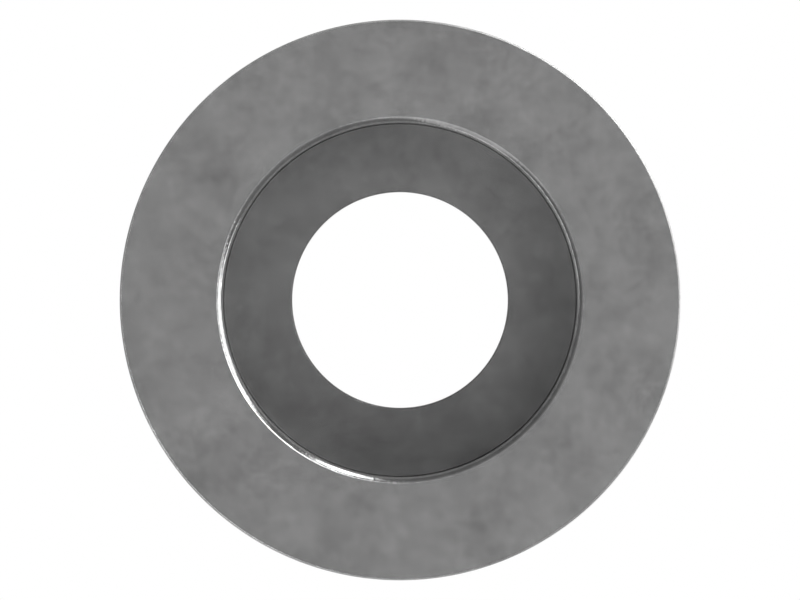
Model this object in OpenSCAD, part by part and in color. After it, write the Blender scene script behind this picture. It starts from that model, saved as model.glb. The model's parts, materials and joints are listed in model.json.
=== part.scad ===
// Flanged bushing, turned in one piece from steel bar.
// A plain sleeve presses into its housing as far as a wide flange. A flat-bottomed recess in the
// flange's face takes a bolt's head, and a clear bore through the recess's floor takes the bolt.
// The bushing stands on the sleeve's end, with its axis on Z and the origin at that end's centre.

/* [Flange] */
// Outside diameter of the flange
flange_d = 35; // [34:0.5:48]
// Thickness of the flange
flange_t = 4; // [2:0.5:6]
// Radius that breaks the flange's two outer edges
flange_edge_r = 0.08; // [0.05:0.01:0.3]

/* [Sleeve] */
// Outside diameter of the sleeve, which presses into its housing
sleeve_d = 28; // [27:0.5:30]
// Overall length, from the sleeve's end to the flange's face
total_l = 20; // [18:0.5:40]
// Length of the tapered lead-in at the sleeve's end
lead_l = 1.5; // [0.5:0.1:3]
// How far the lead-in draws in from the sleeve's side
lead_depth = 0.5; // [0.2:0.1:1]

/* [Relief groove under the flange] */
// Width of the groove, which lets the flange seat flat against the housing
relief_w = 1.5; // [0.8:0.1:3]
// Depth of the groove below the sleeve's side, and the radius of its two inner corners
relief_depth = 0.3; // [0.1:0.05:0.35]

/* [Recess for the bolt's head] */
// Inside diameter of the recess
recess_d = 22.2; // [16:0.1:23]
// Depth of the recess below the flange's face
recess_depth = 10; // [4:0.5:12]
// Radius of the rounded mouth, where the recess's wall turns into the flange's face
mouth_r = 0.45; // [0.4:0.05:1.5]
// How far the mouth's round reaches out over the flange's face from the recess's wall
mouth_reach = 0.4; // [0.1:0.05:0.4]
// Radius that the tool leaves where the recess's wall meets its floor
floor_corner_r = 0.07; // [0.05:0.01:0.4]

/* [Bore for the bolt] */
// Diameter of the bore, which clears a 12 mm bolt
bore_d = 13.6; // [6:0.1:14]
// Radius that breaks the bore's edge in the recess's floor
bore_edge_r = 0.05; // [0.05:0.01:0.3]
// Size of the chamfer where the bore leaves the sleeve's end
bore_chamfer = 0.5; // [0.2:0.1:1]

/* [Hidden] */

// Steps in a full turn of the section, and in each small circle of the section
turn_steps = 120;
arc_steps = 24;

// How far a cut runs past the face that it opens through
past = 1;

flange_radius = flange_d / 2;
sleeve_radius = sleeve_d / 2;
recess_radius = recess_d / 2;
bore_radius = bore_d / 2;
flange_under_z = total_l - flange_t;
recess_floor_z = total_l - recess_depth;
steel_grey = [0.50, 0.50, 0.50];

// The sharp tip that a rounded corner loses. The tip is at the origin, and the arc lies
// towards -X and -Y.
module corner_tip(radius) {
    difference() {
        translate([-radius, -radius]) square(radius);
        translate([-radius, -radius]) circle(radius, $fn = arc_steps);
    }
}

// Half of the outer form: the sleeve with the flange on top of it
module turned_blank() {
    square([sleeve_radius, total_l]);
    difference() {
        translate([0, flange_under_z]) square([flange_radius, flange_t]);
        translate([flange_radius, total_l]) corner_tip(flange_edge_r);
        translate([flange_radius, flange_under_z]) mirror([0, 1]) corner_tip(flange_edge_r);
    }
}

// The shallow taper that starts the sleeve in its housing
module lead_in_cut() {
    polygon([
        [sleeve_radius - lead_depth, 0],
        [sleeve_radius, 0],
        [sleeve_radius, lead_l]
    ]);
}

// The groove in the sleeve's side, straight under the flange. Its corners are rounded over its
// whole depth, so the flange's underside is flat right up to the line of the sleeve's side.
module relief_cut() {
    groove_radius = sleeve_radius - relief_depth;
    groove_bottom_z = flange_under_z - relief_w;
    difference() {
        translate([groove_radius, groove_bottom_z]) square([relief_depth, relief_w]);
        translate([groove_radius, flange_under_z]) mirror([1, 0]) corner_tip(relief_depth);
        translate([groove_radius, groove_bottom_z])
            mirror([1, 0]) mirror([0, 1]) corner_tip(relief_depth);
    }
}

// The recess, flat at the bottom, with a small radius around its floor and a rounded mouth. The
// mouth's round reaches out by less than its radius, so it meets the wall in a faint edge.
module recess_cut() {
    difference() {
        translate([0, recess_floor_z]) square([recess_radius, recess_depth + past]);
        translate([recess_radius, recess_floor_z]) mirror([0, 1]) corner_tip(floor_corner_r);
    }
    translate([recess_radius + mouth_reach - mouth_r, total_l])
        mirror([1, 0]) corner_tip(mouth_r);
}

// The bore, with a broken edge in the recess's floor and a chamfer at the sleeve's end
module bore_cut() {
    translate([0, -past]) square([bore_radius, recess_floor_z + 2 * past]);
    translate([bore_radius, recess_floor_z]) mirror([1, 0]) corner_tip(bore_edge_r);
    polygon([
        [bore_radius, 0],
        [bore_radius + bore_chamfer, 0],
        [bore_radius, bore_chamfer]
    ]);
}

module bushing() {
    color(steel_grey)
        rotate_extrude($fn = turn_steps)
            difference() {
                turned_blank();
                lead_in_cut();
                relief_cut();
                recess_cut();
                bore_cut();
            }
}

bushing();
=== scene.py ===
# The looks of a turned steel flanged bushing, seen from straight above on a plain white floor.
import json
import math
import bmesh
import bpy
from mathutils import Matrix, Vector


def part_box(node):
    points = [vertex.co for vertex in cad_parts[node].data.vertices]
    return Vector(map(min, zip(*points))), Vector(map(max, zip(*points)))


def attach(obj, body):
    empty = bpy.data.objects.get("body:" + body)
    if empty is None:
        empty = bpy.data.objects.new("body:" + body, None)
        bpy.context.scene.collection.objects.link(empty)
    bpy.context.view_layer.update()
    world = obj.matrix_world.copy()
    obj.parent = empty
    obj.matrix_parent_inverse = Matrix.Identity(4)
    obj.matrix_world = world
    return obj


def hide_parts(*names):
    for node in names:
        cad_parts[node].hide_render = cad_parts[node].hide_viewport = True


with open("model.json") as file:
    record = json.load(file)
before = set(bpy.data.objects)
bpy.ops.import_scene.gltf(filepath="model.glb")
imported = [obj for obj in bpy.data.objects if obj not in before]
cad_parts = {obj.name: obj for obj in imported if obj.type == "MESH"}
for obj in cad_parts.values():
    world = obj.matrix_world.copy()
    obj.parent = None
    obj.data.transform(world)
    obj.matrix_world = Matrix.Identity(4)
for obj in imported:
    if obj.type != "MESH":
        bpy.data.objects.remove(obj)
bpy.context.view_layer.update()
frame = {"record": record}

mm = 0.001
mounts = {mount["name"]: mount for mount in frame["record"]["mounts"]}
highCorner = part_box("bushing")[1]
flangeRadius = highCorner.x
faceHeight = highCorner.z
undersideHeight = mounts["flange_underside"]["pos_m"][2]
floorHeight = mounts["head_seat"]["pos_m"][2]
sleeveRadius = mounts["sleeve_outside"]["dims"]["r_mm"] * mm
recessRadius = mounts["head_recess"]["dims"]["r_mm"] * mm
boreRadius = mounts["bolt_bore"]["dims"]["r_mm"] * mm
print("frame loaded: flange", flangeRadius / mm, "mm and recess", recessRadius / mm, "mm in radius")


# Straight above and far off, so that the walls of the recess show only as a thin line
camera = {
    "height": 1.75,             # above the flange's face
    "frameWidth": 49.94 * mm,   # what the picture's long side takes in at the face
    "sensorWidth": 36.0,
    "nearest": 0.01,
    "farthest": 10.0,
}


def makeCamera():
    data = bpy.data.cameras.new("topCamera")
    data.sensor_width = camera["sensorWidth"]
    data.lens = camera["sensorWidth"] * camera["height"] / camera["frameWidth"]
    data.clip_start = camera["nearest"]
    data.clip_end = camera["farthest"]
    holder = bpy.data.objects.new("topCamera", data)
    bpy.context.collection.objects.link(holder)
    holder.location = (0, 0, faceHeight + camera["height"])
    bpy.context.scene.camera = holder
    print("camera placed, lens", round(data.lens), "mm")


# The turned section, as corners that are rounded one by one
section = {
    "boreChamfer": 0.5 * mm,
    "boreEdge": 0.05 * mm,
    "boreShare": 0.9,           # of the chamfer and the edge, where the bore's finish starts and ends
    "leadLength": 1.5 * mm,
    "leadDepth": 0.5 * mm,
    "grooveWidth": 1.5 * mm,
    "grooveDepth": 0.3 * mm,
    "grooveCorner": 0.26 * mm,
    "undersideEdge": 0.09 * mm,
    "rimWidth": 0.090 * mm,     # of the very flat chamfer that a file left round the face
    "rimDrop": 0.018 * mm,
    "rimRound": 0.10 * mm,
    "rimEdge": 0.005 * mm,
    "mouthRound": 0.49 * mm,
    "mouthReach": 0.433 * mm,   # how far the mouth's round runs out over the face
    "mouthShare": 0.98,         # of that round, which leaves room for the faint edge beside it
    "floorCorner": 0.09 * mm,
    "brokenEdge": 0.02 * mm,    # every other edge, dulled by tumbling
    "stepDegrees": 5,           # of each small arc
    "fewestSteps": 4,
    "fadeDegrees": 12,          # of arc over which a flat's finish gives way to the round's
    "upright": 0.02,            # how far from level a normal may point on an outer side
    "turnSteps": 480,
}

# What each point of the mesh tells the material, from 0 to 1
finishesAndShade = (
    "burnish",                  # the edges that stand out, polished by tumbling
    "grime",                    # the hollow corners, darkened as painted shade and given a rougher, less metallic finish
    "dull",                     # the recess's floor, darkened as painted shade
    "wall",                     # the recess's wall, which the tool left smooth
    "side",                     # the upright outer sides, with the tool's lines round them
    "bore",                     # the bore, drilled and left rough, its colour darkened as painted shade
    "rim",                      # the chamfer round the face
)


def sectionCorners():
    s = section
    noseRadius = sleeveRadius - s["leadDepth"]
    grooveRadius = sleeveRadius - s["grooveDepth"]
    grooveBottom = undersideHeight - s["grooveWidth"]
    # the mouth's round meets the wall at a slant, a little short of upright
    slant = math.asin(s["mouthReach"] / s["mouthRound"])
    wallTop = faceHeight - s["mouthRound"] * (1 - math.cos(slant))
    mouthRadius = recessRadius + s["mouthReach"] - s["mouthRound"] * math.tan(slant / 2)
    return [
        (boreRadius + s["boreChamfer"], 0, s["brokenEdge"]),
        (noseRadius, 0, s["brokenEdge"]),
        (sleeveRadius, s["leadLength"], s["brokenEdge"]),
        (sleeveRadius, grooveBottom, s["brokenEdge"]),
        (grooveRadius, grooveBottom, s["grooveCorner"]),
        (grooveRadius, undersideHeight, s["grooveCorner"]),
        (flangeRadius, undersideHeight, s["undersideEdge"]),
        (flangeRadius, faceHeight - s["rimDrop"], s["rimEdge"]),
        (flangeRadius - s["rimWidth"], faceHeight, s["rimRound"]),
        (mouthRadius, faceHeight, s["mouthRound"] * s["mouthShare"]),
        (recessRadius, wallTop, s["brokenEdge"]),
        (recessRadius, floorHeight, s["floorCorner"]),
        (boreRadius, floorHeight, s["boreEdge"]),
        (boreRadius, s["boreChamfer"], s["brokenEdge"]),
    ]


def roundedCorner(before, corner, after, radius):
    # the points of the arc that rounds one corner, each with its outward normal; burnish on an outer
    # corner, or painted shade in a hollow one, grows from 0 at the flats on either side to 1 well inside
    # the arc
    toBefore = (before - corner).normalized()
    toAfter = (after - corner).normalized()
    opening = toBefore.angle(toAfter)
    centre = corner + (toBefore + toAfter).normalized() * radius / math.sin(opening / 2)
    turn = math.pi - opening
    side = 1 if toBefore.x * toAfter.y < toBefore.y * toAfter.x else -1
    start = corner + toBefore * radius / math.tan(opening / 2) - centre
    steps = max(section["fewestSteps"], round(math.degrees(turn) / section["stepDegrees"]))
    arc = []
    for step in range(steps + 1):
        angle = turn * step / steps * side
        spoke = Vector((
            start.x * math.cos(angle) - start.y * math.sin(angle),
            start.x * math.sin(angle) + start.y * math.cos(angle),
        ))
        fromFlat = math.degrees(min(abs(angle), turn - abs(angle)))
        spot = dict.fromkeys(finishesAndShade, 0.0)
        spot["burnish" if side > 0 else "grime"] = min(1, fromFlat / section["fadeDegrees"])
        spot["point"] = centre + spoke
        spot["normal"] = spoke.normalized() * side
        arc.append(spot)
    return arc


def markFinishAndShade(spot):
    # the finishes and painted shade that depend on where a point lies
    s = section
    radius, height = spot["point"]
    floorTop = floorHeight + s["floorCorner"] / 2
    if radius < recessRadius and s["boreChamfer"] < height < floorTop:
        # the recess's floor gets painted shade
        spot["dull"] = 1.0
    if height > floorTop and abs(radius - recessRadius) < s["brokenEdge"] / 2:
        spot["burnish"] = 1.0
        spot["wall"] = 1.0
    if radius < boreRadius + s["boreEdge"] * s["boreShare"] and height > s["boreChamfer"] * s["boreShare"]:
        spot["burnish"] = 0.0
        spot["bore"] = 1.0
    if radius > flangeRadius - s["rimWidth"] and height > faceHeight - s["rimDrop"]:
        spot["burnish"] = 0.0
        spot["rim"] = 1.0
    if radius > sleeveRadius - s["brokenEdge"] and abs(spot["normal"].y) < s["upright"]:
        spot["side"] = 1.0


def makeBushing():
    corners = [(Vector((x, z)), radius) for x, z, radius in sectionCorners()]
    outline = []
    for index, (corner, radius) in enumerate(corners):
        before = corners[index - 1][0]
        after = corners[(index + 1) % len(corners)][0]
        outline += roundedCorner(before, corner, after, radius)
    for spot in outline:
        markFinishAndShade(spot)

    mesh = bpy.data.meshes.new("steelBushing")
    shape = bmesh.new()
    rings = []
    normals = []
    for step in range(section["turnSteps"]):
        angle = 2 * math.pi * step / section["turnSteps"]
        cosine, sine = math.cos(angle), math.sin(angle)
        ring = []
        for spot in outline:
            point, normal = spot["point"], spot["normal"]
            ring.append(shape.verts.new((point.x * cosine, point.x * sine, point.y)))
            normals.append((normal.x * cosine, normal.x * sine, normal.y))
        rings.append(ring)
    for step, ring in enumerate(rings):
        nextRing = rings[(step + 1) % len(rings)]
        for index in range(len(ring)):
            after = (index + 1) % len(ring)
            shape.faces.new((ring[index], nextRing[index], nextRing[after], ring[after]))
    shape.to_mesh(mesh)
    shape.free()
    mesh.shade_smooth()
    mesh.normals_split_custom_set_from_vertices(normals)
    for name in finishesAndShade:
        layer = mesh.attributes.new(name, "FLOAT", "POINT")
        layer.data.foreach_set("value", [spot[name] for spot in outline] * section["turnSteps"])

    piece = bpy.data.objects.new("steelBushing", mesh)
    bpy.context.collection.objects.link(piece)
    print("bushing turned:", len(outline), "points of section,", len(mesh.polygons), "faces")
    return piece


class Wire:
    # a node's output that takes part in Python arithmetic

    def __init__(self, tree, socket):
        self.tree = tree
        self.socket = socket

    def math(self, operation, other, swap=False):
        values = (other, self) if swap else (self, other)
        return addNode(self.tree, "ShaderNodeMath", {"operation": operation}, dict(enumerate(values)))

    def __add__(self, other):
        return self.math("ADD", other)

    def __sub__(self, other):
        return self.math("SUBTRACT", other)

    def __rsub__(self, other):
        return self.math("SUBTRACT", other, swap=True)

    def __mul__(self, other):
        return self.math("MULTIPLY", other)

    __radd__ = __add__
    __rmul__ = __mul__


def addNode(tree, nodeType, settings=None, values=None, output=0):
    # adds a node, sets it up, then fills its sockets with values or links them
    node = tree.nodes.new(nodeType)
    for name, value in (settings or {}).items():
        if name == "stops":
            stops = node.color_ramp.elements
            while len(stops) < len(value):
                stops.new(1.0)
            for stop, (position, level) in zip(stops, sorted(value)):
                stop.position = position
                stop.color = (level, level, level, 1)
        else:
            setattr(node, name, value)
    for name, value in (values or {}).items():
        if isinstance(value, Wire):
            tree.links.new(value.socket, node.inputs[name])
        else:
            node.inputs[name].default_value = value
    return Wire(tree, node.outputs[output]) if node.outputs else node


# Each level is laid over the ones before it wherever the mesh has that finish or painted shade
steel = {
    "colour": {
        "plain": 0.56,
        # painted shade: the recess's floor darker
        "dull": 0.45,
        "burnish": 0.70,
        "wall": 0.85,
        # painted shade: the bore darkened
        "bore": 0.22,
        # painted shade: the hollow corners darkened
        "grime": 0.08,
    },
    "metal": {
        "plain": 0.8,
        "burnish": 0.89,
        "grime": 0.6,
    },
    "roughness": {
        "plain": 0.20,
        "burnish": 0.13,
        "wall": 0.12,
        "side": 0.14,
        "bore": 0.6,
        "rim": 0.31,
        "grime": 0.45,
    },
    "cloudSize": 4.0 * mm,      # of the cloudy grain's largest patches
    "cloudDetail": 6,
    "cloudGrain": 0.88,         # how strongly the finer patches show beside the largest
    "cloudContrast": 1.25,
    "cloudShift": (-56.0 * mm, 65.7 * mm, 50.35 * mm),   # picks where the larger patches lie
    "markSize": 0.3 * mm,       # of the lines round the outer sides, left by the turning tool
    "markDetail": 4,
    "markContrast": 0.35,
    "pitSize": 0.14 * mm,       # of the small dents in the burnished metal
    "pitDetail": 2,
    "pitDepth": 0.011 * mm,
    "noiseMiddle": 0.5,         # what a noise is on average
}


def blend(low, high, mask):
    return mask * (high - low) + low


def layered(levels, masks):
    value = levels["plain"]
    for name, level in levels.items():
        if name in masks:
            value = blend(value, level, masks[name])
    return value


def makeSteel():
    material = bpy.data.materials.new("satinSteel")
    material.use_nodes = True
    tree = material.node_tree
    tree.nodes.clear()
    masks = {}
    for name in finishesAndShade:
        masks[name] = addNode(tree, "ShaderNodeAttribute", {"attribute_name": name}, output="Fac")
    place = addNode(tree, "ShaderNodeTexCoord", output="Object")
    cloud = addNode(tree, "ShaderNodeTexNoise", values={
        "Vector": addNode(tree, "ShaderNodeVectorMath", values={0: place, 1: steel["cloudShift"]}),
        "Scale": 1 / steel["cloudSize"],
        "Detail": steel["cloudDetail"],
        "Roughness": steel["cloudGrain"],
    })
    marks = addNode(tree, "ShaderNodeTexNoise", {"noise_dimensions": "1D"}, {
        "W": addNode(tree, "ShaderNodeSeparateXYZ", values={0: place}, output="Z"),
        "Scale": 1 / steel["markSize"],
        "Detail": steel["markDetail"],
    })
    pits = addNode(tree, "ShaderNodeTexNoise", values={
        "Vector": place,
        "Scale": 1 / steel["pitSize"],
        "Detail": steel["pitDetail"],
    })
    dents = addNode(tree, "ShaderNodeBump", values={
        "Height": pits * (masks["burnish"] - masks["wall"]),
        "Distance": steel["pitDepth"],
    })
    tone = layered(steel["colour"], masks)
    tone = tone * ((cloud - steel["noiseMiddle"]) * steel["cloudContrast"] + 1)
    tone = tone * ((marks - steel["noiseMiddle"]) * masks["side"] * steel["markContrast"] + 1)
    surface = addNode(tree, "ShaderNodeBsdfPrincipled", values={
        "Base Color": tone,
        "Metallic": layered(steel["metal"], masks),
        "Roughness": layered(steel["roughness"], masks),
        "Normal": dents,
    })
    addNode(tree, "ShaderNodeOutputMaterial", values={"Surface": surface})
    print("steel mixed:", len(tree.nodes), "nodes")
    return material


# Soft lights round the bushing: azimuth from +X towards +Y, zenith angle from straight above
studio = {
    "distance": 1.0,            # of each light from the middle of the face
    "skyStops": [               # zenith angle in degrees, brightness
        (0, 0.000),
        (7, 0.092),
        (12, 0.431),
        (18, 0.076),
        (26, 0.119),
        (45, 0.000),
        (70, 0.009),
        (84, 0.000),
    ],
    "seenSky": (1, 1, 1, 1),    # the camera sees plain white behind the bushing
    "softboxes": {
        "rightWindow": {"azimuth": 12.8, "zenith": 57.0, "width": 0.72, "height": 0.68, "glow": 1.80},
        "windowTop": {"azimuth": 16.3, "zenith": 19.4, "width": 0.45, "height": 0.11, "glow": 2.31},
        "backWindow": {"azimuth": 71.3, "zenith": 70.7, "width": 0.23, "height": 0.96, "glow": 4.08},
        "windowBridge": {"azimuth": 47.2, "zenith": 20.8, "width": 0.34, "height": 0.15, "glow": 5.16},
        "frontFill": {"azimuth": 247.7, "zenith": 53.9, "width": 0.52, "height": 1.60, "glow": 0.34},
        "horizonFront": {"azimuth": 216.3, "zenith": 89.2, "width": 1.48, "height": 0.16, "glow": 1.46},
        "horizonRight": {"azimuth": 360.1, "zenith": 89.4, "width": 0.87, "height": 0.22, "glow": 3.81},
        "matteFill": {"azimuth": 249.2, "zenith": 28.6, "width": 1.83, "height": 0.75, "glow": 3.70},
        "matteBack": {"azimuth": 69.9, "zenith": 86.3, "width": 1.93, "height": 0.20, "glow": 2.37},
        "matteLeft": {"azimuth": -7.8, "zenith": 44.4, "width": 0.81, "height": 0.59, "glow": 0.42},
    },
    "unreflected": ("matteFill", "matteBack", "matteLeft"),     # these light only the matte share
}


def pointAround(azimuth, zenith):
    azimuth, zenith = math.radians(azimuth), math.radians(zenith)
    return Vector((
        math.cos(azimuth) * math.sin(zenith),
        math.sin(azimuth) * math.sin(zenith),
        math.cos(zenith),
    ))


def rampPosition(upward):
    # from -1 straight below and 1 straight above to a ramp's 0 and 1
    return (upward + 1) * 0.5


def makeSky():
    world = bpy.data.worlds.new("studioSky")
    bpy.context.scene.world = world
    world.use_nodes = True
    world.cycles.sampling_method = "NONE"   # sampled as a lamp, this sky leaves patches of noise
    tree = world.node_tree
    tree.nodes.clear()
    direction = addNode(tree, "ShaderNodeTexCoord", output="Generated")
    upward = addNode(tree, "ShaderNodeSeparateXYZ", values={0: direction}, output="Z")
    stops = [(rampPosition(math.cos(math.radians(zenith))), level) for zenith, level in studio["skyStops"]]
    glow = addNode(tree, "ShaderNodeValToRGB", {"stops": stops}, {"Fac": rampPosition(upward)})
    seen = addNode(tree, "ShaderNodeLightPath", output="Is Camera Ray")
    factor, first, second, mixed = 0, 6, 7, 2   # a Mix node's sockets for colours
    colour = addNode(tree, "ShaderNodeMix", {"data_type": "RGBA"}, {
        factor: seen,
        first: glow,
        second: studio["seenSky"],
    }, output=mixed)
    sky = addNode(tree, "ShaderNodeBackground", values={"Color": colour})
    addNode(tree, "ShaderNodeOutputWorld", values={"Surface": sky})
    print("sky made:", len(stops), "levels of brightness")


def makeSoftboxes():
    target = Vector((0, 0, faceHeight))
    for name, box in studio["softboxes"].items():
        light = bpy.data.lights.new(name, "AREA")
        light.shape = "RECTANGLE"
        light.size = box["width"]
        light.size_y = box["height"]
        light.energy = math.pi * box["glow"] * box["width"] * box["height"]
        holder = bpy.data.objects.new(name, light)
        bpy.context.collection.objects.link(holder)
        outward = pointAround(box["azimuth"], box["zenith"]) * studio["distance"]
        holder.location = target + outward
        holder.rotation_euler = (target - holder.location).to_track_quat("-Z", "Y").to_euler()
        holder.visible_camera = False
        holder.visible_glossy = name not in studio["unreflected"]
    print("lights placed:", ", ".join(studio["softboxes"]))


backdrop = {
    "size": 20.0,
    "depth": 0.05 * mm,         # below the bushing's end, so that the two planes don't clash
    "glow": 0.910,              # how bright the steel sees the floor
    "seenGlow": 1.0,            # how bright the camera sees it
    "shadeReach": 50 * mm,      # distance from the axis at the far end of the shade's ramp
    "shadeStops": [             # distance from the axis, how much light is left on the floor
        (7.3 * mm, 1.0),
        (7.4 * mm, 0.45),
        (13.6 * mm, 0.45),
        (15.2 * mm, 0.80),
        (17.3 * mm, 1.0),
    ],
}


def makeFloor():
    bpy.ops.mesh.primitive_plane_add(size=backdrop["size"])
    floor = bpy.context.object
    floor.name = "whiteFloor"
    floor.location.z = -backdrop["depth"]
    material = bpy.data.materials.new("whiteFloor")
    material.use_nodes = True
    material.cycles.emission_sampling = "NONE"  # not sampled as a lamp either, as with the sky
    tree = material.node_tree
    tree.nodes.clear()
    place = addNode(tree, "ShaderNodeTexCoord", output="Object")
    reach = addNode(tree, "ShaderNodeVectorMath", {"operation": "LENGTH"}, {0: place}, output="Value")
    stops = [(distance / backdrop["shadeReach"], level) for distance, level in backdrop["shadeStops"]]
    shade = addNode(tree, "ShaderNodeValToRGB", {"stops": stops}, {
        "Fac": reach * (1 / backdrop["shadeReach"]),
    })
    seen = addNode(tree, "ShaderNodeLightPath", output="Is Camera Ray")
    glow = addNode(tree, "ShaderNodeEmission", values={
        "Color": shade,
        "Strength": blend(backdrop["glow"], backdrop["seenGlow"], seen),
    })
    # clear from below, so that the underside can be looked at
    clear = addNode(tree, "ShaderNodeBsdfTransparent")
    below = addNode(tree, "ShaderNodeNewGeometry", output="Backfacing")
    surface = addNode(tree, "ShaderNodeMixShader", values={0: below, 1: glow, 2: clear})
    addNode(tree, "ShaderNodeOutputMaterial", values={"Surface": surface})
    floor.data.materials.append(material)
    print("floor laid")


makeCamera()
makeSky()
makeSoftboxes()
makeFloor()
piece = makeBushing()
piece.data.materials.append(makeSteel())
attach(piece, "root")
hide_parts("bushing")
bpy.context.scene.view_settings.view_transform = "Standard"
